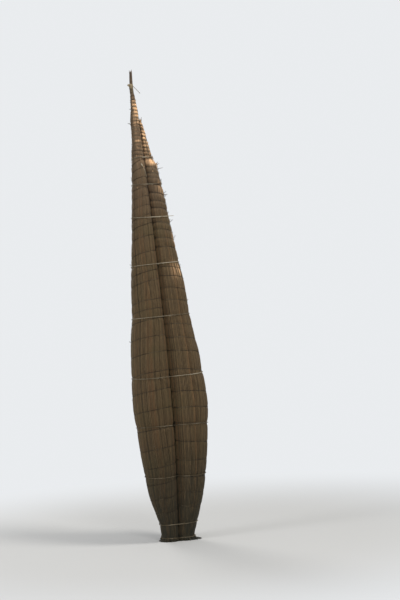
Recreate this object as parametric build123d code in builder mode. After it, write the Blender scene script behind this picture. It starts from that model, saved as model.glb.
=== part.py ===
from build123d import *
import os
from math import acos, atan, atan2, cos, degrees, radians, sin, sqrt

os.makedirs("parts", exist_ok=True)

# A one-man reed boat standing on its cut stern, as it is stood on the beach. Sizes are in millimetres.
# Z runs up the boat from the stern to the bow, +Y is the deck side, and X = 0 is the plane where the
# left and right bundles meet. The right one stops short of the bow, which the left one carries alone.

# The hull's middle line, which sweeps towards the deck side at the bow.
swept_z = 4600  # the height that the next value is for
bow_rise = 750  # how far the middle line has swept there
sweep_start_z = 900  # below this the hull is straight
sweep_power = 1.4
stern_lean = -0.035  # slope of the straight stretch, away from the deck side

# How the bundles press on each other. A side of a section is a band of reeds.
outer_sides = 11  # of a long bundle, from the groove below round to the short bundle
inner_sides = 3  # of a long bundle, from the short bundle to the groove above
short_sides = 12
press = 0.88  # a long bundle's centre from the middle plane, over its radius
bow_offset = 30  # the least that the left bundle's centre is from the middle plane
short_press = 0.93  # a short bundle's centre from its long one's, over the sum of their radii
seat_gap = 0.2  # left between pieces that bear on each other
pinch = 5  # how deep a rope sinks into a bundle
pinch_ramp = 60  # from the middle of a rope to where the bundle has its full size again
seat_half = 8  # half the length of the level seat under a rope
row_spacing = 40  # a row nearer than this to a rope's stretch gives no station of its own

# Rope, and the thin cord that binds each bundle's end.
rope_thick = 8
rope_half = 6  # half the width of a rope, flattened by the pull
turn_thick = 5
turn_half = 4
turn_gap = 1
# First and last height and pitch of the turns, on the left and on the right bundle.
turn_rows = {-1: [(3798, 4110, 76), (4132, 4380, 38)], 1: [(3790, 4118, 38)]}

# Height, then the radius of the left and of the right long bundle. The right one has its shoulder
# just below the top lashing.
long_rows = [
    (0, 94, 97),
    (60, 87, 91),
    (155, 93, 105),
    (252, 107, 118.5),
    (455, 140, 147),
    (735, 163, 170),
    (900, 175, 179),
    (1073, 183, 187),
    (1315, 194, 198),
    (1430, 193, 195.5),
    (1577, 190, 188.6),
    (1660, 186.5, 181.5),
    (1769, 183, 179),
    (1940, 175, 164),
    (2135, 160, 151),
    (2210, 155, 147),
    (2476, 144, 138.5),
    (2640, 134, 126.5),
    (2777, 124.5, 117),
    (3032, 107, 104),
    (3129, 103, 98.5),
    (3284, 91, 92.5),
    (3403, 84.5, 85.5),
    (3503, 78.5, 80),
    (3582, 72.5, 73.5),
    (3643, 69, 70),
    (3706, 65, 54.5),
    (3762, 62, 47.5),
    (3903, 50.5, 34.5),
    (4054, 45, 22.5),
    (4120, 43.5, 15),
    (4170, 39.5, 15),
    (4218, 34, 15),
    (4385, 21, 15),
]
# Heights where the left and the right long bundle end.
long_tops = {-1: 4385, 1: 4120}
column_of = {-1: 1, 1: 2}

# Height, then a short bundle's centre from the middle plane and its radius. The well lies where they part.
short_rows = [
    (0, 62.3, 62),
    (180, 72, 66),
    (420, 128.5, 66.5),
    (700, 176.5, 65.5),
    (900, 197.5, 68.5),
    (1000, 204, 72),
    (1200, 210, 81),
    (1300, 204, 83),
    (1430, 174, 81),
    (1540, 141.5, 83.5),
    (1760, 90, 86),
    (2150, 78, 76),
    (2560, 59, 57),
    (2860, 32, 30),
]
short_top_z = short_rows[-1][0]

# Heights of the ropes: round the whole hull, and round one long and one short bundle beside the well.
lashing_heights = [36, 172, 1612, 2180, 2685, 3160, 3473, 3716]
tie_heights = [640, 1120]

# The bare reeds that stand out of the bow: x and y in the tip's plane, length.
reed_rows = [
    (-7.4, 0, 200),
    (7.4, 0, 256),
    (0, 12.8, 246),
]
reed_radius = 7
reed_sides = 8
reed_taper = 0.6  # degrees

# The turns and the knot round them, by distance along from the tip and outer radius.
knot_rows = [
    (4, 18.6),
    (18, 18.2),
    (32, 18.2),
    (46, 18.2),
    (60, 18.6),
    (74, 19.5),
    (88, 22.5),
    (102, 21.5),
]
knot_turn = 13
knot_neck = 17.8
knot_hollow = 17
knot_middle_y = 4.2
knot_sides = 9
knob_x = -26
knob_along = 98
knob_radius = 13
knob_taper = 30  # degrees
tail_radius = 3
tail_points = [(17, -8, 98), (91, -12, 24)]  # x, y and distance along


def from_rows(rows, column, z):
    for low, high in zip(rows, rows[1:]):
        if z <= high[0]:
            share = (z - low[0]) / (high[0] - low[0])
            return low[column] + share * (high[column] - low[column])
    return rows[-1][column]


def rise(z):
    swept = max(0, z - sweep_start_z) / (swept_z - sweep_start_z)
    return stern_lean * z + (bow_rise - stern_lean * swept_z) * swept**sweep_power


def station(z, along=0):
    """The plane square to the hull's middle line at height z, or moved along that line."""
    turn = atan((rise(z + 1) - rise(z - 1)) / 2) if z > 0 else 0
    normal = Vector(0, sin(turn), cos(turn))
    middle = Vector(0, rise(z), z) + normal * along
    return Plane(origin=middle, x_dir=(1, 0, 0), z_dir=normal)


class Section:
    """One side's bundles where a station cuts them, with x measured out from the middle plane."""

    def __init__(self, z, side, waist=0):
        self.side = side
        self.radius = from_rows(long_rows, column_of[side], z) - waist
        self.centre = (max(press * self.radius, bow_offset if side < 0 else 0), 0)
        # The bundle is flat where the other one is beside it, and round above that one's end.
        flatness = 0.99 if z > long_tops[1] else min(self.centre[0] / self.radius, 0.99)
        self.edge = 180 - degrees(acos(flatness))
        self.has_short = z <= short_top_z
        # Past the short bundle's top, the narrow flat keeps the place that it has there.
        at = min(z, short_top_z)
        beside = self.radius if self.has_short else from_rows(long_rows, column_of[side], at)
        short_x = from_rows(short_rows, 1, at)
        self.short_radius = from_rows(short_rows, 2, at) - waist / 2
        reach = short_press * (beside + self.short_radius)
        across = short_x - press * beside
        self.short_centre = (short_x, sqrt(reach**2 - across**2))
        self.short_angle = degrees(atan2(self.short_centre[1], across))
        # The flat where the two press on each other, as half its angle seen from either centre.
        to_flat = (reach**2 + beside**2 - self.short_radius**2) / 2 / reach
        self.long_half = degrees(acos(to_flat / beside)) if self.has_short else 3
        self.short_half = degrees(acos((reach - to_flat - seat_gap) / self.short_radius))

    def fan(self, centre, radius, start, end, sides):
        """Points round a circle from one angle to another, on this section's side."""
        angles = [radians(start + (end - start) * step / sides) for step in range(sides + 1)]
        return [
            (self.side * (centre[0] + radius * cos(angle)), centre[1] + radius * sin(angle))
            for angle in angles
        ]

    def long_corners(self, grow=0):
        """Round outside, flat where it meets the other long bundle and where the short one sits on it."""
        radius = self.radius + grow
        below = self.short_angle - self.long_half
        above = self.short_angle + self.long_half
        outer = self.fan(self.centre, radius, -self.edge, below, outer_sides)
        return outer + self.fan(self.centre, radius, above, self.edge, inner_sides)

    def short_corners(self, grow=0):
        """Round, with the flat that sits on the long bundle."""
        start = self.short_angle + 180 + self.short_half
        end = self.short_angle + 540 - self.short_half
        return self.fan(self.short_centre, self.short_radius + grow, start, end, short_sides)

    def all_corners(self, grow):
        return self.long_corners(grow) + (self.short_corners(grow) if self.has_short else [])


def tight(points):
    """The corners that a rope drawn tight round the points bears on, in order."""
    ordered = sorted(set(points))
    loop = []
    for run in (ordered, ordered[::-1]):
        side = []
        for x, y in run:
            while len(side) > 1:
                (ax, ay), (bx, by) = side[-2:]
                if (bx - ax) * (y - ay) - (by - ay) * (x - ax) > 0:
                    break
                side.pop()
            side.append((x, y))
        loop += side[:-1]
    return loop


def cord_ring(plane, outside, inside, half):
    """A cord or flattened rope, from the tight line round its outside and its inside."""
    with BuildPart() as ring:
        with BuildSketch(plane):
            for points, mode in ((outside, Mode.ADD), (inside, Mode.SUBTRACT)):
                with BuildLine():
                    Polyline(tight(points), close=True)
                make_face(mode=mode)
        extrude(amount=half, both=True)
    return ring.part


def own_side(ring, side):
    """What of a ring round one side's bundles lies on that side: the rest is closed in the groove."""
    with BuildPart() as cut:
        add(ring)
        split(bisect_by=Plane.YZ.offset(side * seat_gap), keep=Keep.TOP if side > 0 else Keep.BOTTOM)
    return cut.part


# The stations: one at each row, and four round each rope, so that its seat is straight and level.
rope_heights = lashing_heights + tie_heights
stations = []
for z in rope_heights:
    if z > pinch_ramp:
        stations.append((z - pinch_ramp, z - pinch_ramp, 0, 0))
    stations.append((z - seat_half, z, -seat_half, pinch))
    stations.append((z + seat_half, z, seat_half, pinch))
    if z > pinch_ramp:
        stations.append((z + pinch_ramp, z + pinch_ramp, 0, 0))
for z in [row[0] for row in long_rows] + [short_top_z]:
    if z == 0 or min(abs(z - rope) for rope in rope_heights) > pinch_ramp + row_spacing:
        stations.append((z, z, 0, 0))
stations.sort()

pieces = []
for side, side_name in ((-1, "left"), (1, "right")):
    # A long bundle, pressed flat on the other, and the short one on its deck side.
    for length_name, top_z in (("long", long_tops[side]), ("short", short_top_z)):
        with BuildPart() as bundle:
            for height, z, along, waist in stations:
                if height <= top_z:
                    cut = Section(z, side, waist)
                    with BuildSketch(station(z, along)):
                        with BuildLine():
                            Polyline(getattr(cut, f"{length_name}_corners")(), close=True)
                        make_face()
            loft(ruled=True)
        pieces.append((f"{length_name}_bundle_{side_name}", bundle.part))

    # The ties round the long and the short bundle, from the groove round and back into it.
    for number, z in enumerate(tie_heights, 1):
        cut = Section(z, side, pinch)
        outside = cut.all_corners(seat_gap + rope_thick)
        ring = cord_ring(station(z), outside, cut.all_corners(seat_gap), rope_half)
        pieces.append((f"tie_{side_name}_{number}", own_side(ring, side)))

    # The close turns of cord round the end of the long bundle.
    with BuildPart() as turns:
        for first_z, last_z, pitch in turn_rows[side]:
            for z in range(first_z, last_z, pitch):
                below = Section(z - turn_half, side)
                outside = below.long_corners(turn_gap + turn_thick)
                ring = cord_ring(station(z), outside, below.long_corners(turn_gap), turn_half)
                add(own_side(ring, side) if z < long_tops[1] else ring)
    pieces.append((f"bow_turns_{side_name}", turns.part))

# The lashings round the whole hull.
for number, z in enumerate(lashing_heights, 1):
    cuts = [Section(z, side, pinch) for side in (-1, 1)]
    outside, inside = [
        [corner for cut in cuts for corner in cut.all_corners(grow)]
        for grow in (seat_gap + rope_thick, seat_gap)
    ]
    pieces.append((f"lashing_{number}", cord_ring(station(z), outside, inside, rope_half)))

# The bare reeds, which stand on the end of the left long bundle.
tip = station(long_tops[-1])
tip_middle = (-bow_offset, 0)
with BuildPart() as reeds:
    for x, y, length in reed_rows:
        with BuildSketch(tip.offset(seat_gap)):
            with Locations((tip_middle[0] + x, y)):
                RegularPolygon(reed_radius, reed_sides)
        extrude(amount=length, taper=reed_taper)
pieces.append(("bow_reeds", reeds.part))

# The turns round the reeds' foot, the knot with its knob on the left and its stiff end on the right.
tail_foot, tail_end = [tip.from_local_coords((tip_middle[0] + x, y, along)) for x, y, along in tail_points]
with BuildPart() as knot:
    for along, radius in knot_rows:
        with BuildSketch(tip.offset(along)):
            with Locations((tip_middle[0], knot_middle_y)):
                RegularPolygon(radius, knot_sides)
        extrude(amount=knot_turn)
    with BuildSketch(tip.offset(knot_rows[0][0])):
        with Locations((tip_middle[0], knot_middle_y)):
            RegularPolygon(knot_neck, knot_sides)
    extrude(amount=knot_rows[-1][0])
    with BuildSketch(tip.offset(knob_along)):
        with Locations((tip_middle[0] + knob_x, knot_middle_y)):
            RegularPolygon(knob_radius, knot_sides)
    extrude(amount=knob_radius, both=True, taper=knob_taper)
    with BuildSketch(Plane(origin=tail_foot, z_dir=tail_end - tail_foot)):
        RegularPolygon(tail_radius, reed_sides)
    extrude(amount=(tail_end - tail_foot).length)
    with BuildSketch(tip):
        with Locations((tip_middle[0], knot_middle_y)):
            RegularPolygon(knot_hollow, knot_sides)
    extrude(amount=knot_rows[-1][0] + 2 * knot_turn, mode=Mode.SUBTRACT)
pieces.append(("bow_knot", knot.part))

for name, solid in pieces:
    solid.label = name
    export_step(solid, f"parts/{name}.step")
    print(name, len(solid.solids()), round(solid.volume))
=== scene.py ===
import random
from math import acos, atan, atan2, cos, exp, pi, radians, sin, sqrt, tau

import bpy
from mathutils import Matrix, Vector, noise


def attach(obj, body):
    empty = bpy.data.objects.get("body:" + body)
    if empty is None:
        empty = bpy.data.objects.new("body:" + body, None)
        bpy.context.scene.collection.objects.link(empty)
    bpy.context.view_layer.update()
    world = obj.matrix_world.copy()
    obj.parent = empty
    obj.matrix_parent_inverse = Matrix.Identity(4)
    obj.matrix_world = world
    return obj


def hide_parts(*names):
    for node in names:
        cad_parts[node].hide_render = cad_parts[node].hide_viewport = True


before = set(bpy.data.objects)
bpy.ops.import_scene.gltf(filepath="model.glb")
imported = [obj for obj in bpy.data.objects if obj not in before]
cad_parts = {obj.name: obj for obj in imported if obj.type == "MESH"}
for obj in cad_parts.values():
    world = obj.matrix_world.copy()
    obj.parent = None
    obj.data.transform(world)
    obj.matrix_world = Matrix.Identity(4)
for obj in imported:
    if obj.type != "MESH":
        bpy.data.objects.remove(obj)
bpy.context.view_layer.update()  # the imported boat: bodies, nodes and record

print("frame loaded:", len(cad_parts), "nodes")

# Z runs up from the stern to the bow, +Y is the deck side, and the long bundles meet at X = 0.
hull = {
    "sweptTop": 4.6,
    "bowRise": 0.75,  # the middle line's sweep to the deck side there
    "sweepStart": 0.9,
    "sweepPower": 1.4,
    "sternLean": -0.035,
    "levelStern": 0.03,  # the cut stern is level up to here
    "press": 0.88,  # a long bundle's centre from the middle plane, over its radius
    "bowOffset": 0.03,  # the least that the left one's is
    "shortPress": 0.93,  # a short bundle's centre from its long one's, over both radii
    "longTop": {-1: 4.385, 1: 4.12},
    "shortTop": 2.86,
    "waist": 0.006,  # how deep a rope sinks in
    "waistReach": 0.03,
    "sagBlend": 0.05,  # how gently a rope's sag begins
}

# Height, then the radius of the left and of the right long bundle.
longRows = [
    (0, 0.094, 0.097), (0.06, 0.087, 0.091), (0.155, 0.093, 0.105), (0.252, 0.107, 0.1185),
    (0.455, 0.14, 0.147), (0.735, 0.163, 0.17), (0.9, 0.175, 0.179), (1.073, 0.183, 0.187),
    (1.315, 0.194, 0.198), (1.43, 0.193, 0.1955), (1.577, 0.19, 0.1886), (1.66, 0.1865, 0.1815),
    (1.769, 0.183, 0.179), (1.94, 0.175, 0.164), (2.135, 0.16, 0.151), (2.21, 0.155, 0.147),
    (2.476, 0.144, 0.1385), (2.64, 0.134, 0.1265), (2.777, 0.1245, 0.117), (3.032, 0.107, 0.104),
    (3.129, 0.103, 0.0985), (3.284, 0.091, 0.0925), (3.403, 0.0845, 0.0855), (3.503, 0.0785, 0.08),
    (3.582, 0.0725, 0.0735), (3.643, 0.069, 0.07), (3.706, 0.065, 0.0545), (3.762, 0.062, 0.0475),
    (3.903, 0.0505, 0.0345), (4.054, 0.045, 0.0225), (4.12, 0.0435, 0.015), (4.17, 0.0395, 0.015),
    (4.218, 0.034, 0.015), (4.385, 0.021, 0.015),
]

# Height, then a short bundle's centre from the middle plane and its radius.
shortRows = [
    (0, 0.0623, 0.062), (0.18, 0.072, 0.066), (0.42, 0.1285, 0.0665), (0.7, 0.1765, 0.0655), (0.9, 0.1975, 0.0685),
    (1, 0.204, 0.072), (1.2, 0.21, 0.081), (1.3, 0.204, 0.083), (1.43, 0.174, 0.081), (1.54, 0.1415, 0.0835),
    (1.76, 0.09, 0.086), (2.15, 0.078, 0.076), (2.56, 0.059, 0.057), (2.86, 0.032, 0.03),
]

lashingRows = {
    # height, slant, sag at the underside, tones at the left, middle and right, the knot's x, and whether it has a tail
    1: (0.036, 0, 0, (0, 0, 0.05), -0.06, False),
    2: (0.172, 0.03, 0, (0.05, 0.12, 0.2), 0.05, False),
    3: (1.608, 0.03, 0.18, (0.22, 0.2, 0.7), -0.12, False),
    4: (2.176, 0.035, 0.16, (0.3, 0.22, 0.15), 0.07, False),
    5: (2.681, 0.047, 0.16, (0.25, 0.5, 0.7), 0.02, False),
    6: (3.153, 0, 0.33, (0.3, 0.85, 1), 0.09, True),
    7: (3.473, 0, 0.27, (0.1, 0.45, 0.05), 0.01, False),
    8: (3.716, 0, -0.18, (0, 0.75, 0.05), 0.012, False),
}
tieRows = {1: (0.64, (0, 0, 0)), 2: (1.12, (0.05, 0.05, 0.05))}
ropeLines = [row[:3] for row in lashingRows.values()] + [(row[0], 0, 0) for row in tieRows.values()]


def fromRows(rows, column, z):
    # a smooth line through the rows that never swings past them
    if z <= rows[0][0]:
        return rows[0][column]
    if z >= rows[-1][0]:
        return rows[-1][column]
    low = next(i for i in range(len(rows) - 1) if z <= rows[i + 1][0])

    def run(i):
        return (rows[i + 1][column] - rows[i][column]) / (rows[i + 1][0] - rows[i][0])

    def slope(i):
        before, after = run(max(i - 1, 0)), run(min(i, len(rows) - 2))
        return 0 if before * after <= 0 else 2 * before * after / (before + after)

    length = rows[low + 1][0] - rows[low][0]
    t = (z - rows[low][0]) / length
    held = rows[low][column] * (1 + 2 * t) * (1 - t) ** 2 + rows[low + 1][column] * t * t * (3 - 2 * t)
    return held + length * (slope(low) * t * (1 - t) ** 2 - slope(low + 1) * t * t * (1 - t))


def ramp(t):
    t = min(max(t, 0), 1)
    return t * t * (3 - 2 * t)


def shares(steps):
    # from 0 to 1 in even steps
    return [i / steps for i in range(steps + 1)]


def rise(z):
    swept = max(0, z - hull["sweepStart"]) / (hull["sweptTop"] - hull["sweepStart"])
    tipRise = hull["bowRise"] - hull["sternLean"] * hull["sweptTop"]
    return hull["sternLean"] * z + tipRise * swept ** hull["sweepPower"]


def station(z):
    # the middle line's point at this height, the way to the deck side and the way along
    lean = atan((rise(z + 0.001) - rise(z - 0.001)) / 0.002) * ramp(z / hull["levelStern"])
    return Vector((0, rise(z), z)), Vector((0, cos(lean), -sin(lean))), Vector((0, sin(lean), cos(lean)))


def section(z, side):
    # a long bundle's radius and centre, then its short one's centre and radius, with x out to that side
    radius = fromRows(longRows, 1 if side < 0 else 2, z)
    centre = max(hull["press"] * radius, hull["bowOffset"] if side < 0 else 0)
    shortX, shortRadius = fromRows(shortRows, 1, z), fromRows(shortRows, 2, z)
    reach = hull["shortPress"] * (radius + shortRadius)
    return radius, centre, shortX, sqrt(max(reach**2 - (shortX - centre) ** 2, 1e-6)), shortRadius


def placeOn(bundle, z, angle):
    # x, y and radius of a bundle's surface at this height and angle
    radius, centre, shortX, shortY, shortRadius = section(z, bundle["side"])
    if bundle["long"]:
        return bundle["side"] * (centre + radius * cos(angle)), radius * sin(angle), radius
    return bundle["side"] * (shortX + shortRadius * cos(angle)), shortY + shortRadius * sin(angle), shortRadius


def topOf(bundle):
    return hull["longTop"][bundle["side"]] if bundle["long"] else hull["shortTop"]


def climbAt(x, y, slant, sag):
    # how far a rope is above its own height here: it sags where it crosses the underside
    return slant * x + sag * (y - sqrt(y * y + hull["sagBlend"] ** 2)) / 2


def dent(away, deep):
    # a soft dent that is gone three widths from its middle
    return deep * exp(-away * away) if abs(away) < 3 else 0


def waistAt(z, x, y):
    # how far the ropes draw the bundles in here
    sunk = 0
    for height, slant, sag in ropeLines:
        sunk += dent((z - height - climbAt(x, y, slant, sag)) / hull["waistReach"], hull["waist"])
    return sunk


def newMesh():
    return {"points": [], "faces": [], "tones": []}


def addRings(mesh, rings, tone, closed=False):
    # skins a row of rings with quads, and caps it unless it comes back to its start
    start, sides = len(mesh["points"]), len(rings[0])
    for i, ring in enumerate(rings):
        mesh["points"] += ring
        mesh["tones"] += [tone[i] if isinstance(tone, list) else tone] * sides
    steps = len(rings) if closed else len(rings) - 1
    for i in range(steps):
        here, there = start + i * sides, start + (i + 1) % len(rings) * sides
        for j in range(sides):
            k = (j + 1) % sides
            mesh["faces"].append((here + j, here + k, there + k, there + j))
    if not closed:
        last = start + (len(rings) - 1) * sides
        mesh["faces"].append(tuple(range(start + sides - 1, start - 1, -1)))
        mesh["faces"].append(tuple(range(last, last + sides)))


def addTube(mesh, path, radius, tone, sides=6, closed=False):
    # a round tube along the points, with a radius for all or one for each
    count = len(path)
    radii = radius if isinstance(radius, list) else [radius] * count
    across, rings = None, []
    for i, point in enumerate(path):
        before = path[i - 1] if closed or i else point
        after = path[(i + 1) % count] if closed or i < count - 1 else point
        way = (after - before).normalized()
        if across is None:
            across = way.orthogonal().normalized()
        across = (across - way * across.dot(way)).normalized()
        over = way.cross(across)
        rings.append([
            point + (across * cos(tau * j / sides) + over * sin(tau * j / sides)) * radii[i]
            for j in range(sides)
        ])
    addRings(mesh, rings, tone, closed)


def addObject(name, data):
    thing = bpy.data.objects.new(name, data)
    bpy.context.scene.collection.objects.link(thing)
    return thing


def makePiece(name, mesh, slot, *nodes):
    data = bpy.data.meshes.new(name)
    data.from_pydata([tuple(point) for point in mesh["points"]], [], mesh["faces"])
    data.shade_smooth()
    tones = data.color_attributes.new("tone", "FLOAT_COLOR", "POINT")
    tones.data.foreach_set("color", [value for tone in mesh["tones"] for value in tone])
    data.materials.append(skins[slot])
    piece = addObject(name, data)
    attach(piece, "root")
    if nodes:
        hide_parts(*nodes)


def shade(red, green, blue):
    # a seen colour, 0 to 255, as the linear one that the nodes take
    return tuple(
        value / 255 / 12.92 if value / 255 <= 0.04045 else ((value / 255 + 0.055) / 1.055) ** 2.4
        for value in (red, green, blue)
    ) + (1,)


def newMaterial(name, **sockets):
    material = bpy.data.materials.new(name)
    material.use_nodes = True
    tree = material.node_tree
    shader = tree.nodes["Principled BSDF"]
    for socket, value in sockets.items():
        shader.inputs[socket.replace("_", " ")].default_value = value
    return material, tree, shader, addNode(tree, "TexCoord").outputs["Object"]


def addNode(tree, kind, inputs=None, **settings):
    # a node with its settings, and its inputs set to values or linked to other nodes' outputs
    node = tree.nodes.new("ShaderNode" + kind)
    for setting, value in settings.items():
        setattr(node, setting, value)
    for key, value in (inputs or {}).items():
        if isinstance(value, bpy.types.NodeSocket):
            tree.links.new(value, node.inputs[key])
        else:
            node.inputs[key].default_value = value
    return node


def addRamp(tree, factor, stops):
    node = addNode(tree, "ValToRGB", {0: factor})
    elements = node.color_ramp.elements
    while len(elements) < len(stops):
        elements.new(0.5)
    for element, (place, colour) in zip(elements, stops):
        element.position, element.color = place, colour
    return node.outputs[0]


def compute(tree, kind, first, second):
    return addNode(tree, "Math", {0: first, 1: second}, operation=kind).outputs[0]


def between(tree, value, low, high, bottom=0.0, top=1.0, kind="LINEAR"):
    # low to high is turned to bottom to top, and held there
    inputs = {0: value, 1: low, 2: high, 3: bottom, 4: top}
    return addNode(tree, "MapRange", inputs, interpolation_type=kind).outputs[0]


def addNoise(tree, place, scale, detail):
    return addNode(tree, "TexNoise", {"Vector": place, "Scale": scale, "Detail": detail}).outputs[0]


reedLook = {
    # tone from dark to light, seen colours
    "tones": [
        (0.0, shade(38, 31, 21)), (0.22, shade(60, 49, 33)), (0.5, shade(83, 68, 47)),
        (0.78, shade(99, 81, 56)), (1.0, shade(124, 101, 70)),
    ],
    "red": shade(98, 66, 40), "olive": shade(76, 69, 44), "grey": shade(100, 83, 70),
    "paintedHighlightColour": shade(224, 181, 136), "wetAndShade": shade(36, 40, 34), "cutEnd": shade(158, 130, 92),
    "greyFrom": 2.9, "greyTo": 3.7,
    "wetAndShadeTop": 1.35, "wetAndShadeLow": 0.0,
    "most": {"red": 0.45, "olive": 0.4, "grey": 0.4, "wetAndShade": 0.82},  # the largest share of each colour
    "fibres": (290, 290, 7), "fibreTone": 0.2,  # fineness, and most change of tone
    "drift": (70, 70, 4), "driftTone": 0.09,  # the same, from stem to stem
    "patches": 2.6,
    "leastDarkened": 0.68,  # the streaks that keep the most of their colour where the foot is darkened, beside the rest
    "roughness": (0.52, 0.78),
}


def makeReedSkin():
    material, tree, shader, place = newMaterial("driedReed", Roughness=0.62, Specular_IOR_Level=0.16)
    tone, look = addNode(tree, "Attribute", attribute_name="tone"), reedLook
    parts = addNode(tree, "SeparateColor", {0: tone.outputs["Color"]}).outputs
    height = addNode(tree, "SeparateXYZ", {0: place}).outputs[2]

    def blend(factor, first, second):
        return addNode(tree, "Mix", {0: factor, 6: first, 7: second}, data_type="RGBA").outputs[2]

    def noiseAlong(scale, detail):
        stretched = addNode(tree, "Mapping", {"Vector": place, "Scale": scale}).outputs[0]
        return addNoise(tree, stretched, 1.0, detail)

    # fibres along the stem, and slower changes from stem to stem and up the boat
    fibres, drift = noiseAlong(look["fibres"], 4.0), noiseAlong(look["drift"], 3.0)
    patches = addNoise(tree, place, look["patches"], 5.0)
    most, fine, slow = look["most"], look["fibreTone"], look["driftTone"]
    level = compute(tree, "ADD", parts[0], between(tree, fibres, 0.25, 0.75, -fine, fine))
    level = compute(tree, "ADD", level, between(tree, drift, 0.3, 0.7, -slow, slow))
    colour = addRamp(tree, level, look["tones"])
    colour = blend(between(tree, parts[1], 0.6, 1.0, 0.0, most["red"]), colour, look["red"])
    colour = blend(between(tree, patches, 0.5, 0.68, 0.0, most["olive"]), colour, look["olive"])
    grey = between(tree, height, look["greyFrom"], look["greyTo"], 0.0, most["grey"])
    colour = blend(grey, colour, look["grey"])
    # darker towards the foot: painted shade, with wet reeds near the ground
    wetAndShaded = between(tree, height, look["wetAndShadeTop"], look["wetAndShadeLow"], 0.0, most["wetAndShade"], "SMOOTHSTEP")
    streaks = between(tree, drift, 0.4, 0.62, 1.0, look["leastDarkened"])
    colour = blend(compute(tree, "MULTIPLY", wetAndShaded, streaks), colour, look["wetAndShade"])
    # painted highlight: a pale gold blended in by the tone's third channel
    colour = blend(parts[2], colour, look["paintedHighlightColour"])
    colour = blend(tone.outputs["Alpha"], look["cutEnd"], colour)
    tree.links.new(colour, shader.inputs["Base Color"])
    tree.links.new(between(tree, fibres, 0.3, 0.7, *look["roughness"]), shader.inputs["Roughness"])
    bump = addNode(tree, "Bump", {"Strength": 0.5, "Distance": 0.0012, "Height": fibres}).outputs[0]
    tree.links.new(bump, shader.inputs["Normal"])
    return material


def makeCordSkin(name, dark, pale, strandPitch):
    # twisted fibre: the tone goes from the dark colour to the pale one
    material, tree, shader, place = newMaterial(name, Roughness=0.85, Specular_IOR_Level=0.2)
    tone = addNode(tree, "Attribute", attribute_name="tone").outputs["Color"]
    toneLevel = addNode(tree, "SeparateColor", {0: tone}).outputs[0]
    hairs, stains = addNoise(tree, place, 1 / strandPitch, 5.0), addNoise(tree, place, 9.0, 2.0)
    level = between(tree, compute(tree, "ADD", hairs, stains), 0.7, 1.3, -0.3, 0.3)
    level = compute(tree, "ADD", level, toneLevel)
    tree.links.new(addRamp(tree, level, [(0, dark), (1, pale)]), shader.inputs["Base Color"])
    bump = addNode(tree, "Bump", {"Strength": 0.6, "Distance": 0.0006, "Height": hairs}).outputs[0]
    tree.links.new(bump, shader.inputs["Normal"])
    return material


skins = {
    "reeds": makeReedSkin(),
    "lashing_rope": makeCordSkin("paleTwistedRope", shade(80, 70, 53), shade(178, 168, 146), 0.002),
    "binding_cord": makeCordSkin("darkTwistedCord", shade(36, 30, 23), shade(160, 144, 116), 0.0015),
}

shortLook = {
    "long": False, "counts": [(0, 30), (0.9, 40), (1.8, 40), (2.5, 26), (2.86, 12)],
    "turnSink": 0.0028, "turnRadius": 0.0017, "pillow": 0,
}

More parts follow.
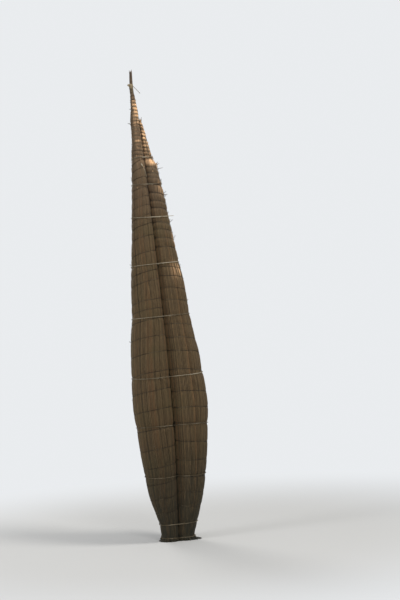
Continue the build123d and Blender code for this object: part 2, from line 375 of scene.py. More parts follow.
# counts: height and how many reeds show round a bundle; turns: where the cord crosses its underside
# pillow: how much more the reeds swell between the turns near the bow; bowCord: tones of the turns there
# highlightSide: middle and half width, in degrees, of the lit side that gets the painted highlight at the bow
# paintedHighlight: height and how strong the painted highlight is there
# paintedGlints: painted highlights lower down, where light catches a few reeds: height, angle, half of their height
# and width, and amount
bundles = {
    "long_bundle_left": {
        "side": -1, "long": True, "seed": 11,
        "counts": [(0, 48), (0.9, 80), (1.7, 80), (3, 54), (3.5, 42), (4, 28), (4.385, 13)],
        "turns": [0.3, 0.44, 0.59, 0.75, 0.92, 1.1, 1.28, 1.459, 1.631, 1.813, 1.967, 2.131, 2.228, 2.32,
                  2.499, 2.592, 2.782, 2.939, 3.05, 3.14, 3.24, 3.33, 3.42, 3.523, 3.613, 3.693],
        "tilt": 0.07, "turnSink": 0.0036, "turnRadius": 0.0022, "pillow": 0.3,
        "bowTurns": [3.755] + [3.798 + 0.038 * i for i in range(9)] + [4.132 + 0.038 * i for i in range(7)],
        "bowSink": 0.0022, "bowTurnRadius": 0.0021,
        "paintedHighlight": [(3.5, 0), (3.7, 0.1), (3.87, 0.14), (3.893, 0.8), (3.915, 0.16), (4.055, 0.12), (4.066, 1),
                 (4.08, 1), (4.09, 0.25), (4.12, 0.35), (4.14, 0.9), (4.17, 1.2), (4.27, 1.1), (4.31, 0.5),
                 (4.35, 0.05), (4.385, 0)],
        "paintedGlints": [],
        "bowCord": (0.1, 0.45), "bowSlant": -0.001,
        "highlightSide": (-125, 75),
    },
    "long_bundle_right": {
        "side": 1, "long": True, "seed": 23,
        "counts": [(0, 48), (0.9, 80), (1.7, 80), (3, 58), (3.5, 50), (3.63, 45), (3.74, 27), (4.12, 9)],
        "turns": [0.34, 0.48, 0.63, 0.79, 0.96, 1.13, 1.28, 1.43, 1.636, 1.813, 1.943, 2.073, 2.305, 2.422,
                  2.538, 2.626, 2.826, 2.914, 2.998, 3.067, 3.213, 3.283, 3.362, 3.45, 3.521, 3.564, 3.626],
        "tilt": -0.035, "turnSink": 0.0042, "turnRadius": 0.0022, "pillow": 1.5,
        "bowTurns": [3.752 + 0.038 * i for i in range(10)],
        "bowSink": 0.006, "bowTurnRadius": 0.0022,
        "paintedHighlight": [(3.45, 0), (3.61, 0.05), (3.65, 0.6), (3.69, 1.3), (3.725, 0.45), (3.79, 0.5), (3.9, 0.95),
                 (4, 1.2), (4.12, 1.3)],
        "bowCord": (0, 0.25), "bowSlant": 0.005,
        "paintedGlints": [(2.6, -50, 0.085, 32, 0.65), (2.47, -38, 0.05, 22, 0.55), (3.4, -45, 0.06, 28, 0.6),
                   (2.9, -30, 0.1, 16, 0.3)],
        "highlightSide": (-60, 80),
    },
    "short_bundle_left": {
        "side": -1, "seed": 37, "tilt": 0.05, **shortLook,
        "turns": [0.3, 0.46, 0.76, 0.94, 1.26, 1.44, 1.76, 1.92, 2.06, 2.3, 2.42, 2.56, 2.76],
    },
    "short_bundle_right": {
        "side": 1, "seed": 41, "tilt": -0.05, **shortLook,
        "turns": [0.32, 0.48, 0.78, 0.96, 1.28, 1.46, 1.78, 1.94, 2.08, 2.32, 2.44, 2.58, 2.78],
    },
}

stem = {
    "overlap": 1.07,  # a reed's width over its lane's
    "thinnest": 0.0012,  # half of a reed's least width
    "tallest": 0.0062,  # half of its greatest thickness
    "tone": (0.515, 0.085),  # middle and spread
    "dull": (0.14, 0.64),  # share of darker reeds, and their tone over the others'
    "sunk": (0.36, 0.0018),  # reeds darker than this lie so much deeper
    "bluntShare": 0.12,  # of the reeds end cut off square; the others taper away
    "taperRun": 0.55, "bluntRun": 0.035,
    "pale": 0.6,  # how far a cut end keeps its reed's colour
    "sides": 6, "step": 0.09,
    "closest": 0.007,  # between two rings of a reed
    "lanesEvery": 0.05,
    "wander": 0.0011,
    "roughFrom": 3.4,  # the reeds of the bow lie less evenly
    "rougher": 1.6,
    # a reed's rings, from the middle of a rope and of a turn
    "ropeRings": (-0.055, -0.03, -0.012, 0, 0.012, 0.03, 0.055),
    "turnRings": (-0.026, -0.01, 0, 0.01, 0.026),
    "bowRings": (-0.019, -0.009, 0, 0.009),
}

# the thin cord: the widths of its dents, and how unevenly it goes round
cordLie = {
    "width": 0.013, "bowWidth": 0.0095,
    "pillowWidth": 0.004, "pillowFrom": 2.5, "pillowRun": 0.7,
    "tiltWander": 0.03, "slack": 0.005, "bowSlack": 0.006,
    "step": 0.09,  # between its points, in radians
    "bed": 0.7,  # of its radius, from the dent up to its middle
}


def growReeds(bundle, top):
    rng = random.Random(bundle["seed"])
    ranks = list(range(max(row[1] for row in bundle["counts"])))
    rng.shuffle(ranks)
    reeds, steps = [], [top * t for t in shares(400)]
    for rank in ranks:
        # the reed of this rank is there wherever the counts ask for more reeds
        there = [z for z in steps if fromRows(bundle["counts"], 1, z) > rank]
        start, end = there[0], there[-1]
        blunt = rng.random() < stem["bluntShare"] and end < top - 0.1
        tone = min(max(rng.gauss(*stem["tone"]), 0.02), 1)
        if rng.random() < stem["dull"][0]:
            tone *= stem["dull"][1]
        reeds.append({
            "start": start, "end": end + (rng.uniform(-0.05, 0.05) if 0 < end < top - 0.1 else 0),
            "blunt": blunt, "weight": rng.uniform(0.75, 1.3),
            "sunk": stem["sunk"][1] if tone < stem["sunk"][0] else 0,
            "tone": tone, "red": rng.random() ** 1.8, "phase": rng.uniform(0, 90), "tall": rng.uniform(0.9, 1.12),
        })
    return reeds


def share(reed, z):
    # how much of its full width a reed has at this height
    startRun = 1 if reed["start"] == 0 else ramp((z - reed["start"]) / stem["taperRun"])
    run = stem["bluntRun"] if reed["blunt"] else stem["taperRun"]
    return startRun * (1 if reed["topmost"] else ramp((reed["end"] - z) / run))


def laneTable(reeds, top):
    # at even heights: the middle and half width of each reed's lane, as shares of the way round
    table, count = [], int(top / stem["lanesEvery"]) + 1
    for i in range(count + 1):
        z = min(i * stem["lanesEvery"], top)
        widths = [reed["weight"] * share(reed, z) if reed["start"] <= z <= reed["end"] else 0 for reed in reeds]
        total, done, row = sum(widths) or 1, 0, []
        for width in widths:
            row.append(((done + width / 2) / total, width / 2 / total))
            done += width
        table.append(row)
    return table


def laneAt(table, index, z):
    low = min(int(z / stem["lanesEvery"]), len(table) - 2)
    t = min(z / stem["lanesEvery"] - low, 1)
    here, there = table[low][index], table[low + 1][index]
    return here[0] + (there[0] - here[0]) * t, here[1] + (there[1] - here[1]) * t


def contact(z, side):
    # the way from a long bundle's centre to its short one's, and half the angle where they touch, from each
    radius, centre, shortX, shortY, shortRadius = section(z, side)
    reach = sqrt((shortX - centre) ** 2 + shortY**2)
    toFlat = (reach**2 + radius**2 - shortRadius**2) / 2 / reach
    halves = [acos(min(max(part, -1), 1)) for part in (toFlat / radius, (reach - toFlat) / shortRadius)]
    return atan2(shortY, shortX - centre), *halves


def spread(bundle, z):
    # the angles between which a bundle's reeds lie: all but where it is pressed on another
    side = bundle["side"]
    if not bundle["long"]:
        way, half = contact(z, side)[::2]
        return way - pi + half, way + pi - half
    radius, centre = section(z, side)[:2]
    edge = pi - acos(min(centre / radius, 1))
    alone = ramp((z - hull["longTop"][1] + 0.06) / 0.1) if side < 0 else 0  # where the other has ended
    edge += (pi - edge) * alone
    return -edge, edge


def covered(bundle, z, angle):
    # true where the short bundle lies on the long one
    if not bundle["long"] or z > hull["shortTop"] - 0.02:
        return False
    way, half = contact(z, bundle["side"])[:2]
    return abs(angle - way) < half - 0.04


def turnHeight(bundle, height, angle):
    # a turn of cord climbs across the underside, and comes back over the deck side
    swing = (angle + pi / 2 + pi) % tau - pi
    swing = swing if abs(swing) < pi / 2 else (pi - abs(swing)) * (1 if swing > 0 else -1)
    tilt = bundle["tilt"] + cordLie["tiltWander"] * noise.noise(Vector((height * 5.3, bundle["seed"], 0.5)))
    slack = cordLie["slack"] * noise.noise(Vector((height * 9.1, angle * 1.3, bundle["seed"])))
    return height + tilt * swing / pi * bundle["side"] + slack


def bowHeight(bundle, height, angle):
    # the close turns at the bow, a little aslant
    slack = cordLie["bowSlack"] * noise.noise(Vector((height * 23, angle * 0.9, bundle["seed"] * 1.7)))
    return height + slack - bundle["bowSlant"] * cos(angle)


def turnsAt(bundle, angle):
    # each turn's height at this angle, and whether it is a close one at the bow
    turns = [(turnHeight(bundle, height, angle), False) for height in bundle["turns"]]
    return turns + [(bowHeight(bundle, height, angle), True) for height in bundle.get("bowTurns", [])]


def sinkAt(bundle, z, angle):
    # how far ropes and cords press the reeds in
    sink = waistAt(z, *placeOn(bundle, z, angle)[:2])
    swollen = bundle["pillow"] * ramp((z - cordLie["pillowFrom"]) / cordLie["pillowRun"])
    width = cordLie["width"] + cordLie["pillowWidth"] * swollen
    for at, close in turnsAt(bundle, angle):
        if close:
            sink += dent((z - at) / cordLie["bowWidth"], bundle["bowSink"])
        else:
            sink += dent((z - at) / width, bundle["turnSink"] * (1 + swollen))
    return sink


def onBundle(bundle, z, angle, depth):
    # the point so deep under a bundle's surface, and the way out there
    middle, deck = station(z)[:2]
    x, y = placeOn(bundle, z, angle)[:2]
    outward = Vector((bundle["side"] * cos(angle), 0, 0)) + deck * sin(angle)
    return middle + Vector((x, 0, 0)) + deck * y - outward * depth, outward


def heightsFor(bundle, reed, angle):
    # a ring at every step, and closely where something presses on the reed
    heights = {reed["start"], reed["end"]}
    steps = int((reed["end"] - reed["start"]) / stem["step"])
    heights.update(reed["start"] + (reed["end"] - reed["start"]) * i / max(steps, 1) for i in range(steps))
    for height, slant, sag in ropeLines:
        at = height + climbAt(*placeOn(bundle, height, angle)[:2], slant, sag)
        heights.update(at + away for away in stem["ropeRings"])
    for at, close in turnsAt(bundle, angle):
        heights.update(at + away for away in stem["bowRings" if close else "turnRings"])
    if bundle["long"]:
        heights.add(hull["shortTop"] - 0.012)  # where it comes out from under the short bundle
    kept = []
    for z in sorted(heights):
        if reed["start"] <= z <= reed["end"] and (not kept or z - kept[-1] > stem["closest"]):
            kept.append(z)
    return kept


def paintedHighlightAt(bundle, z, angle, phase):
    # how much painted highlight a reed gets: most on the swell between two turns, where light catches it, less to the
    # sides, and not every reed
    if not bundle["long"]:
        return 0
    # painted glints lower down, where light catches a few reeds
    for height, aside, tall, wide, most in bundle["paintedGlints"]:
        away = ((z - height) / tall) ** 2 + ((angle - radians(aside)) / radians(wide)) ** 2
        if away < 4:
            return max(most * exp(-away) * (0.3 + 1.6 * noise.noise(Vector((phase, z * 6, 7.7)))) * 1.4, 0)
    amount = fromRows(bundle["paintedHighlight"], 1, z)
    if amount == 0:
        return 0
    # the painted highlight fades away from the side where the light falls
    middle, half = [radians(value) for value in bundle["highlightSide"]]
    amount *= ramp(1.4 - abs((angle - middle + pi) % tau - pi) / half)
    above = min([bowHeight(bundle, height, angle) - z for height in bundle["bowTurns"] if height > z] or [0.02])
    swell = exp(-(((above - 0.015) / 0.01) ** 2)) if above < 0.04 else 0.75
    patch = 0.55 + noise.noise(Vector((phase, z * 9, 3.1)))
    patch += 0.5 * noise.noise(Vector((angle * 1.1, z * 31, bundle["seed"])))
    return min(max(amount * (0.1 + 0.9 * swell) * patch * 1.5, 0), 1)


def layReeds(mesh, bundle):
    top = topOf(bundle)
    reeds = growReeds(bundle, top)
    for reed in reeds:
        reed["topmost"] = reed["end"] > top - 0.02
    table = laneTable(reeds, top)
    sides = stem["sides"]
    for index, reed in enumerate(reeds):
        middleLane = laneAt(table, index, (reed["start"] + reed["end"]) / 2)[0]
        low, high = spread(bundle, (reed["start"] + reed["end"]) / 2)
        runs, run, tones, wasHidden = [], [], [], False
        for z in heightsFor(bundle, reed, low + (high - low) * middleLane):
            at, half = laneAt(table, index, z)
            low, high = spread(bundle, z)
            angle = low + (high - low) * at
            hidden = covered(bundle, z, angle)
            if hidden and wasHidden:
                run, tones = [], []  # from the last ring the reed may come out again
            full = share(reed, z)
            cut = stem["pale"] if reed["blunt"] and reed["end"] - z < 0.01 else 1
            # the tone's third channel carries the painted highlight
            tones.append((reed["tone"], reed["red"], paintedHighlightAt(bundle, z, angle, reed["phase"]), cut))
            radius = placeOn(bundle, z, angle)[2]
            wide = max(half * (high - low) * radius * stem["overlap"], stem["thinnest"])
            tall = min(wide, stem["tallest"]) * reed["tall"]
            rough = 1 + stem["rougher"] * ramp((z - stem["roughFrom"]) / 0.3)
            wobble = noise.noise(Vector((reed["phase"], z * 2.1 * rough, index * 0.37))) * stem["wander"] * rough
            sink = sinkAt(bundle, z, angle) + tall + reed["sunk"] + wobble + (1 - full) ** 2 * 0.005
            point, outward = onBundle(bundle, z, angle, sink)
            tangent = outward.cross(station(z)[2])
            point = point + tangent * noise.noise(Vector((index * 0.71, z * 1.7, reed["phase"]))) * wide * 0.3
            run.append([
                point + tangent * (wide * cos(tau * j / sides)) + outward * (tall * sin(tau * j / sides))
                for j in range(sides)
            ])
            if hidden and not wasHidden and len(run) > 1:
                runs.append((run, tones))
                run, tones = [], []
            wasHidden = hidden
        if len(run) > 1:
            runs.append((run, tones))
        for rings, ringTones in runs:
            addRings(mesh, rings, ringTones)


shadeCore = {"depth": 0.0105, "mostShare": 0.35, "under": 0.002, "sides": 40, "step": 0.04}


def layShadeCore(mesh, bundle):
    # the inside of a bundle, painted dark as shade, that shows between its reeds
    top, side, rings = topOf(bundle), bundle["side"], []
    steps = int(top / shadeCore["step"])
    for i in range(steps + 1):
        z = 0.004 + (top - 0.01) * i / steps
        ring = []
        for j in range(shadeCore["sides"]):
            angle = tau * j / shadeCore["sides"]
            x, y, radius = placeOn(bundle, z, angle)
            depth = min(shadeCore["depth"], radius * shadeCore["mostShare"] + shadeCore["under"]) + waistAt(z, x, y)
            if bundle["long"]:
                depth *= 1 - ramp((-cos(angle) - 0.82) / 0.06)  # full where pressed on the other
            point = onBundle(bundle, z, angle, depth)[0]
            if bundle["long"] and z < hull["longTop"][1]:
                point.x = side * max(side * point.x, -shadeCore["under"])  # so no light comes through
            ring.append(point)
        rings.append(ring)
    # all of it the darkest tone: painted shade between the reeds
    addRings(mesh, rings, (0, 0, 0, 1))


for name, bundle in bundles.items():
    mesh = newMesh()
    layShadeCore(mesh, bundle)
    layReeds(mesh, bundle)
    makePiece(name.replace("bundle", "reeds"), mesh, "reeds", name)
    print(name, len(mesh["faces"]), "faces")


def roundTight(z, sides, grow):
    # x and y of a rope drawn tight round the bundles of these sides
    spots, count = [], 96
    for side in sides:
        radius, centre, shortX, shortY, shortRadius = section(z, side)
        circles = [(centre, 0, radius)] + ([(shortX, shortY, shortRadius)] if z < hull["shortTop"] else [])
        for x, y, r in circles:
            reach = r - hull["waist"] + grow
            for j in range(count):
                out = x + reach * cos(tau * j / count)
                if len(sides) == 2 or out > 0.002:
                    spots.append((side * out, y + reach * sin(tau * j / count)))
    spots.sort()
    loop = []
    for order in (spots, spots[::-1]):
        kept = []
        for x, y in order:
            while len(kept) > 1:
                (ax, ay), (bx, by) = kept[-2:]
                if (bx - ax) * (y - ay) - (by - ay) * (x - ax) > 0:
                    break
                kept.pop()
            kept.append((x, y))
        loop += kept[:-1]
    return loop


def evenly(points, gap):
    # the same closed line with points a fixed gap apart
    line = points + [points[0]]
    total = sum((b - a).length for a, b in zip(line, line[1:]))
    count = max(int(total / gap), 2)
    stepLength, result, done, wanted = total / count, [], 0, 0
    for a, b in zip(line, line[1:]):
        length = (b - a).length
        while wanted <= done + length + 1e-9 and len(result) < count:
            result.append(a.lerp(b, (wanted - done) / length if length else 0))
            wanted += stepLength
        done += length
    return result


rope = {
    "radius": 0.0042,  # of the whole rope
    "strand": 0.0024,
    "strands": 2,
    "twist": 0.024,  # length of one full turn
    "gap": 0.004,  # between points along it
    "sides": 5,
}


def addTwisted(mesh, path, across, toneAt):
    # strands wound round each other along a closed path; across is square to it all round
    count = len(path)
    turns = max(round(count * rope["gap"] / rope["twist"]), 1)
    for strand in range(rope["strands"]):
        points = []
        for i, point in enumerate(path):
            way = (path[(i + 1) % count] - path[i - 1]).normalized()
            side = (across - way * across.dot(way)).normalized()
            over = way.cross(side)
            angle = tau * (turns * i / count + strand / rope["strands"])
            points.append(point + (side * cos(angle) + over * sin(angle)) * (rope["radius"] - rope["strand"]))
        addTube(mesh, points, rope["strand"], [toneAt(point) for point in points], rope["sides"], closed=True)


def ropeRing(mesh, z, sides, slant, sag, tone):
    middle, deck, along = station(z)
    width = fromRows(longRows, 1, z)
    loop = []
    for x, y in roundTight(z, sides, rope["radius"]):
        climb = climbAt(x, y, slant, sag)
        wider = fromRows(longRows, 1, z + climb) / width
        loop.append(middle + (Vector((x, 0, 0)) + deck * y) * wider + along * climb)

    def toneLevel(point):
        # from the given tone at one edge to the middle's and on to the other edge's, with stains
        across = min(abs(point.x) / width, 1)
        clean = tone[1] + (tone[2 if point.x > 0 else 0] - tone[1]) * across
        return (max(clean + 0.25 * noise.noise(point * 14), 0), 0, 0, 1)

    path = evenly(loop, rope["gap"])
    addTwisted(mesh, path, along, toneLevel)
    return path, along


knot = {
    "turns": 2.5, "width": 0.014, "radius": 0.0052, "cord": 0.0024, "tone": 0.5,  # tones over the rope's
    "ends": (0.012, 0.028), "drops": (0.2, 0.6), "lift": 0.003, "endCord": 0.002, "endTone": 0.6,
}


def addKnot(mesh, path, along, knotX, tone, rng):
    # a few turns round the rope at this x on the underside, with two short ends
    under = min(path, key=lambda point: abs(point.x - knotX) + (10 if point.y > path[0].y + 0.05 else 0))
    at, lift = path.index(under), knot["lift"]
    way = (path[(at + 1) % len(path)] - path[at - 1]).normalized()
    out = way.cross(along)
    out = out if out.y < 0 else -out
    wound = []
    for t in shares(24):
        angle = tau * knot["turns"] * t
        ring = (along * sin(angle) + out * cos(angle)) * knot["radius"]
        wound.append(under + way * (knot["width"] * (t - 0.5)) + ring)
    addTube(mesh, wound, knot["cord"], (tone * knot["tone"], 0, 0, 1))
    for turn in (-1, 1):
        length, drop = rng.uniform(*knot["ends"]), rng.uniform(*knot["drops"])
        tail = [
            under + way * turn * (2 * lift + length * t) + out * lift * (1 + sin(pi * t)) - along * (length * drop * t)
            for t in shares(5)
        ]
        addTube(mesh, tail, knot["endCord"], (tone * knot["endTone"], 0, 0, 1), 5)


ropeTail = {"run": Vector((0.05, -0.012, 0.006)), "droop": Vector((0, 0, 0.004)), "radius": 0.0026}

for number, (z, slant, sag, tone, knotX, hasTail) in lashingRows.items():
    mesh = newMesh()
    path, along = ropeRing(mesh, z, (-1, 1), slant, sag, tone)
    addKnot(mesh, path, along, knotX, tone[1], random.Random(100 + number))
    if hasTail:
        edge = max(path, key=lambda point: point.x)
        tail = [edge + ropeTail["run"] * t - ropeTail["droop"] * t * t for t in shares(6)]
        addTube(mesh, tail, ropeTail["radius"], (tone[2], 0, 0, 1))
    makePiece(f"lashing_rope_{number}", mesh, "lashing_rope", f"lashing_{number}")
for number, (z, tone) in tieRows.items():
    for side, sideName in ((-1, "left"), (1, "right")):
        mesh = newMesh()
        ropeRing(mesh, z, (side,), 0, 0, tone)
        makePiece(f"tie_rope_{sideName}_{number}", mesh, "lashing_rope", f"tie_{sideName}_{number}")

# the loose cord end below the highest lashing, from its lump down; angles in degrees
loose = {
    "heights": (3.658, 3.534), "angles": (-102, -148), "lift": (0.002, 0.004),
    "radius": 0.0018, "lump": 0.004, "tone": 0.55, "lumpTone": 1.0,
}
mesh = newMesh()
path = []
for t in shares(10):
    z = loose["heights"][0] + (loose["heights"][1] - loose["heights"][0]) * t
    angle = radians(loose["angles"][0] + (loose["angles"][1] - loose["angles"][0]) * t**0.8)
    lift = loose["lift"][0] + loose["lift"][1] * sin(pi * t)
    path.append(onBundle(bundles["long_bundle_left"], z, angle, -lift)[0])
radii = [loose["lump"]] * 2 + [loose["radius"]] * 9
addTube(mesh, path, radii, [(loose["lumpTone"], 0, 0, 1)] * 2 + [(loose["tone"], 0, 0, 1)] * 9)
makePiece("loose_cord_end", mesh, "lashing_rope")
print("ropes laid")


def cordTurn(mesh, bundle, height, radius, tone, level=False):
    # one turn of thin cord, bedded in the reeds from edge to edge
    low, high = spread(bundle, height)
    steps, runs = int((high - low) / cordLie["step"]), [[]]
    for i in range(steps + 1):
        angle = low + (high - low) * i / steps
        z = bowHeight(bundle, height, angle) if level else turnHeight(bundle, height, angle)
        if covered(bundle, z, angle):
            runs.append([])
        else:
            depth = sinkAt(bundle, z, angle) - radius * cordLie["bed"]
            runs[-1].append(onBundle(bundle, z, angle, depth)[0])
    for run in runs:
        if len(run) > 2:
            addTube(mesh, run, radius, tone, 5)


for name, bundle in bundles.items():
    mesh = newMesh()
    rng = random.Random(bundle["seed"] + 500)
    for height in bundle["turns"]:
        cordTurn(mesh, bundle, height, bundle["turnRadius"], (rng.uniform(0, 0.12), 0, 0, 1))
    makePiece(name.replace("bundle", "cord"), mesh, "binding_cord")
    if bundle["long"]:
        mesh = newMesh()
        for height in bundle["bowTurns"]:
            tone = (rng.uniform(*bundle["bowCord"]), 0, 0, 1)
            cordTurn(mesh, bundle, height, bundle["bowTurnRadius"], tone, level=True)
        sideName = name.split("_")[-1]
        makePiece(f"bow_cord_{sideName}", mesh, "binding_cord", f"bow_turns_{sideName}")
print("cords wound")

bow = {
    # bare reeds: x, y and length from the tip's plane, radius, and how far the end bends aside
    "reeds": [
        (-0.0085, 0, 0.214, 0.0094, 0.014), (0.0085, 0, 0.25, 0.0094, 0.014), (0, 0.0128, 0.246, 0.0088, 0.016),
        (0.0, -0.006, 0.238, 0.007, 0.013), (-0.004, 0.008, 0.258, 0.0036, 0.009),
        (0.01, 0.006, 0.266, 0.0028, 0.019),
    ],
    "below": 0.02,  # how far they start below the tip's plane
    "drawnIn": (0.12, 0.1),
    "narrower": 0.16, "rounded": 0.6,
    # the cord's turns: distance along from the tip's plane and radius; neck, then knot, paler as it goes up
    "neckTurns": [(0.01 + 0.0092 * i, 0.0172) for i in range(6)], "neckTone": 0.12,
    "knotTurns": [
        (0.064, 0.0172), (0.072, 0.0178), (0.08, 0.018), (0.088, 0.0186), (0.096, 0.0198), (0.104, 0.0188),
    ],
    "knotTone": 0.55, "paler": 9,
    "turnRadius": 0.0034, "turnClimb": 0.003,
    "middleY": 0.0042,
    "knob": (-0.024, 0.098, 0.00682, 0.0077),  # x, distance along, and half of its width and height
    "knobLoops": 4, "knobShift": 0.002, "knobCord": 0.0046, "knobTone": 0.7,
    "tail": [(0.012, -0.01, 0.09), (0.026, -0.015, 0.066), (0.052, -0.015, 0.034), (0.08, -0.012, 0.0)],
    "tailCord": 0.0024, "tailTone": 0.35,
}


def atTip(x, y, along):
    middle, deck, way = station(hull["longTop"][-1])
    return middle + Vector((x - hull["bowOffset"], 0, 0)) + deck * y + way * along


def boundRing(mesh, along, radius, tone):
    ring = [
        atTip(radius * cos(angle), bow["middleY"] + radius * sin(angle), along + bow["turnClimb"] * sin(angle))
        for angle in [tau * t for t in shares(20)[:-1]]
    ]
    addTube(mesh, ring, bow["turnRadius"], (tone, 0, 0, 1), closed=True)


def knobLoop(mesh, turn):
    # one of the loops of the knot's lump, each turned further round
    x, along, wide, tall = bow["knob"]
    tip, loop = pi * turn / bow["knobLoops"], []
    for t in shares(14)[:-1]:
        out = wide * cos(tau * t)
        sideways = x + out * cos(tip) + bow["knobShift"] * turn
        loop.append(atTip(sideways, bow["middleY"] + out * sin(tip), along + tall * sin(tau * t)))
    addTube(mesh, loop, bow["knobCord"], (bow["knobTone"], 0, 0, 1), closed=True)


mesh = newMesh()
for number, (x, y, length, radius, bend) in enumerate(bow["reeds"]):
    rng = random.Random(700 + number)
    inX, inY = bow["drawnIn"]
    path = [
        atTip(x * (1 - inX * t) + bend * t * t, y * (1 - inY * t), length * t - bow["below"] * (1 - t))
        for t in shares(14)
    ]
    radii = [radius * (1 - bow["narrower"] * t**3) * (bow["rounded"] if t == 1 else 1) for t in shares(14)]
    addTube(mesh, path, radii, (rng.uniform(0.0, 0.25), 0.1, 0, 1), 8)
makePiece("bow_reed_ends", mesh, "reeds", "bow_reeds")

mesh = newMesh()
for along, radius in bow["neckTurns"]:
    boundRing(mesh, along, radius, bow["neckTone"])
for along, radius in bow["knotTurns"]:
    boundRing(mesh, along, radius, bow["knotTone"] + bow["paler"] * (along - bow["knotTurns"][0][0]))
for turn in range(bow["knobLoops"]):
    knobLoop(mesh, turn)
addTube(mesh, [atTip(*point) for point in bow["tail"]], bow["tailCord"], (bow["tailTone"], 0, 0, 1))
makePiece("bow_knot_cord", mesh, "binding_cord", "bow_knot")
print("bow bound")

stray = {
    # single ends at the long bundles' edges: side, height, angle in degrees, length and climb
    "ends": [
        ("right", 3.66, -15, 0.02, 1.2), ("right", 3.655, -12, 0.024, 0.4), ("right", 3.62, -12, 0.045, -0.1),
        ("right", 3.37, -14, 0.024, 0.5), ("right", 3.36, -12, 0.03, -0.3), ("right", 3.33, -18, 0.02, 0.9),
        ("right", 3.08, -14, 0.03, 0.6), ("right", 2.92, -12, 0.026, 0.9), ("right", 4.09, -60, 0.03, 4),
        ("right", 4.1, -30, 0.034, 5), ("right", 4.1, -95, 0.026, 6), ("left", 4.085, 14, 0.026, 0.2),
        ("left", 4.075, 10, 0.022, 0.9), ("left", 4.23, 12, 0.014, 0.3), ("left", 1.945, 14, 0.014, 0.5),
        ("left", 2.69, 15, 0.012, 0.4), ("right", 2.3, -14, 0.014, 1.2),
    ],
    "radius": 0.003, "tone": (0.35, 0.1, 0, 1),
    "rooted": 0.004, "bend": 0.15, "taper": 0.45, "inside": 0.006,
    "climbs": (0.8, 4), "radii": (0.0018, 0.0032),
    "paleEvery": 5, "paleFrom": 3.4, "paleHighlight": 0.75,  # of the broken ends, those that get the painted highlight, and how much
    # broken ends between two heights: sides, lowest and highest, angles, count, and lengths
    "tufts": [
        (("left", "right"), 3.55, 4.33, (-170, 60), 150, (0.008, 0.017)),
        (("left", "right"), 1.3, 3.55, (-170, 60), 90, (0.007, 0.014)),
        (("right",), 2.6, 3.72, (-45, 25), 70, (0.009, 0.02)),
        (("left",), 3.5, 4.3, (-20, 40), 24, (0.008, 0.016)),
    ],
}


def addStray(mesh, bundle, z, angle, length, climb, radius, tone):
    root, outward = onBundle(bundle, z, angle, stray["rooted"])
    along = station(z)[2]
    way = (outward + along * climb).normalized()
    path = [root + way * length * t + along * (stray["bend"] * length * t * t) for t in shares(5)]
    addTube(mesh, path, [radius * (1 - stray["taper"] * t) for t in shares(5)], tone, 5)


mesh = newMesh()
rng = random.Random(91)
for sideName, z, angle, length, climb in stray["ends"]:
    bundle = bundles["long_bundle_" + sideName]
    addStray(mesh, bundle, z, radians(angle), length + stray["inside"], climb, stray["radius"], stray["tone"])
for sideNames, low, high, angles, count, lengths in stray["tufts"]:
    for number in range(count):
        bundle = bundles["long_bundle_" + sideNames[number % len(sideNames)]]
        z = rng.uniform(low, min(high, topOf(bundle) - 0.03))
        angle = radians(rng.uniform(*angles))
        start, stop = spread(bundle, z)
        if start < angle < stop and not covered(bundle, z, angle):
            # broken ends take the painted highlight where it falls, and some get more of it
            paintedHighlight = paintedHighlightAt(bundle, z, angle, rng.uniform(0, 90))
            if number % stray["paleEvery"] == 0 and z > stray["paleFrom"]:
                paintedHighlight = max(paintedHighlight, stray["paleHighlight"])
            length, climb, radius = [rng.uniform(*limits) for limits in (lengths, stray["climbs"], stray["radii"])]
            tone = (rng.uniform(0.15, 0.8), rng.random() * 0.6, paintedHighlight, 1)
            addStray(mesh, bundle, z, angle, length, climb, radius, tone)
makePiece("stray_reed_ends", mesh, "reeds")

foot = {
    "count": 190,  # crushed reed ends round the stern
    "reach": (0.004, 0.022),
    "height": (0.014, 0.045),
    # longer ones at the right: angle and reach
    "rightEnds": [(-0.6, 0.05), (-0.35, 0.055), (-0.1, 0.045), (0.2, 0.035), (-0.85, 0.035), (0.5, 0.03)],
    "rightHeight": 0.03,
    "radius": 0.0048, "radii": (0.7, 1.1),
    "bentAt": 0.3,  # of its height, where a reed turns outward
    "taper": 0.25, "flat": 0.75,
}


def addCrushed(mesh, bundle, angle, reach, height, radius, tone):
    # down the outside from this height, then out along the ground
    top, outward = onBundle(bundle, height, angle, radius + 0.001)
    low = onBundle(bundle, 0.012, angle, 0)[0]
    bent = Vector((low.x, low.y, height * foot["bentAt"]))
    end = Vector((low.x, low.y, 0)) + outward * reach
    end.z = radius * foot["flat"]
    path = [top.lerp(bent, t * 2) if t < 0.5 else bent.lerp(end, t * 2 - 1) for t in shares(6)]
    addTube(mesh, path, [radius * (1 - foot["taper"] * t) for t in shares(6)], tone)


mesh = newMesh()
rng = random.Random(57)
for number in range(foot["count"]):
    bundle = list(bundles.values())[number % 4]
    angle = rng.uniform(*spread(bundle, 0.01))
    if not covered(bundle, 0.02, angle):
        reach, height = rng.uniform(*foot["reach"]), rng.uniform(*foot["height"])
        radius = foot["radius"] * rng.uniform(*foot["radii"])
        addCrushed(mesh, bundle, angle, reach, height, radius, (rng.uniform(0, 0.6), 0, 0, 1))
bundle = bundles["long_bundle_right"]
for angle, reach in foot["rightEnds"]:
    addCrushed(mesh, bundle, angle, reach, foot["rightHeight"], foot["radius"], (rng.uniform(0, 0.4), 0, 0, 1))
makePiece("crushed_stern_reeds", mesh, "reeds")
print("stray ends set")

studio = {
    "ground": shade(190, 190, 188),
    "air": (0.82, 0.84, 0.86, 1),  # what the camera sees behind the boat
    "sky": (0.92, 0.95, 1, 1), "ambient": 0.42,  # the light from all round
    "floorHalf": 60,
    "blendFrom": 1.6, "blendTo": 5.0,
}

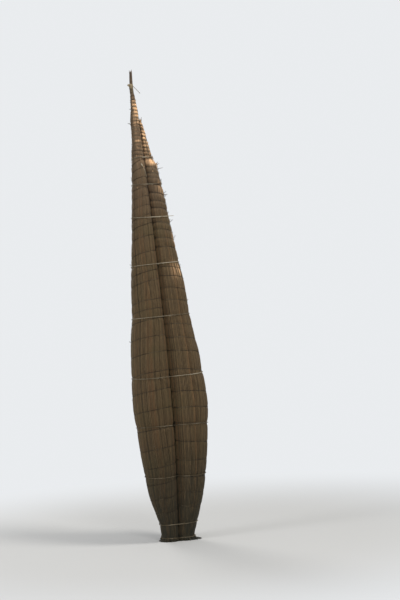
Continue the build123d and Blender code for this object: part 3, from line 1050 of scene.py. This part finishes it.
floorMesh = bpy.data.meshes.new("floor")
far = studio["floorHalf"]
floorMesh.from_pydata([(-far, -far, 0), (far, -far, 0), (far, far, 0), (-far, far, 0)], [], [(0, 1, 2, 3)])
floor = addObject("floor", floorMesh)
floorSkin, tree, shader, place = newMaterial("paleFloor", Base_Color=studio["ground"], Roughness=0.9)
# far off the floor takes the colour of the air for the camera, so no horizon shows
away = addNode(tree, "VectorMath", {0: place}, operation="LENGTH").outputs["Value"]
away = between(tree, away, studio["blendFrom"], studio["blendTo"], kind="SMOOTHSTEP")
seen = compute(tree, "MULTIPLY", addNode(tree, "LightPath").outputs["Is Camera Ray"], away)
airLight = addNode(tree, "Emission", {"Color": studio["air"], "Strength": 1.0}).outputs[0]
mixed = addNode(tree, "MixShader", {0: seen, 1: shader.outputs[0], 2: airLight}).outputs[0]
tree.links.new(mixed, tree.nodes["Material Output"].inputs[0])
floorMesh.materials.append(floorSkin)

world = bpy.data.worlds.new("studioAir")
world.use_nodes = True
bpy.context.scene.world = world
tree = world.node_tree
rays = addNode(tree, "LightPath").outputs
seen = compute(tree, "MAXIMUM", rays["Is Camera Ray"], rays["Is Glossy Ray"])
seen = compute(tree, "MAXIMUM", seen, rays["Is Transmission Ray"])
light = addNode(tree, "Background", {"Color": studio["sky"], "Strength": studio["ambient"]}).outputs[0]
backdrop = addNode(tree, "Background", {"Color": studio["air"], "Strength": 1.0}).outputs[0]
mixed = addNode(tree, "MixShader", {0: seen, 1: light, 2: backdrop}).outputs[0]
tree.links.new(mixed, tree.nodes["World Output"].inputs[0])

# name: place, point aimed at, width, power, colour
lamps = {
    "overhead": ((3.2, -2.6, 8.6), (0, 0.5, 4.0), 2.2, 405, (1, 0.97, 0.93)),
    "front": ((0.9, -9.6, 5.0), (0, 0, 2.2), 2.5, 300, (1, 0.98, 0.95)),
    "leftSide": ((-9.8, -2.2, 4.0), (0, 0, 2.6), 4.0, 400, (0.98, 0.98, 1)),
    "behind": ((-1.5, 9.6, 5.0), (0, 0, 2.4), 4.0, 460, (1, 0.98, 0.95)),
}
for name, (place, aim, width, power, colour) in lamps.items():
    data = bpy.data.lights.new(name, "AREA")
    data.shape, data.size, data.energy, data.color = "DISK", width, power, colour
    lamp = addObject(name, data)
    lamp.location = place
    lamp.rotation_euler = (Vector(aim) - Vector(place)).to_track_quat("-Z", "Y").to_euler()
    lamp.visible_camera = False

photo = {
    "size": (400, 600),
    "azimuth": -15.0, "distance": 18.0, "height": 2.88,
    "focus": 1863.0,  # in pixels
    "foot": 178.0,  # the boat's foot from the left edge
    "horizon": 243.0,
    "roll": 3.4,  # the boat leans to the left
}
width, height = photo["size"]
turn = radians(photo["azimuth"])
ahead, right = Vector((-sin(turn), cos(turn), 0)), Vector((cos(turn), sin(turn), 0))
aside = (width / 2 - photo["foot"]) / photo["focus"] * photo["distance"]
pitch = atan((height / 2 - photo["horizon"]) / photo["focus"])
place = -ahead * photo["distance"] + right * aside + Vector((0, 0, photo["height"]))
aim = ahead * cos(pitch) - Vector((0, 0, sin(pitch)))
rolled = Matrix.Rotation(radians(photo["roll"]), 4, ahead)
cameraData = bpy.data.cameras.new("photoCamera")
cameraData.sensor_fit = "VERTICAL"
cameraData.sensor_height = 36
cameraData.lens = cameraData.sensor_height * photo["focus"] / height
camera = addObject("photoCamera", cameraData)
upright = aim.to_track_quat("-Z", "Y").to_matrix().to_4x4()
camera.matrix_world = rolled @ Matrix.Translation(place) @ upright
bpy.context.scene.camera = camera
bpy.context.scene.view_settings.view_transform = "Standard"
print("studio lit")
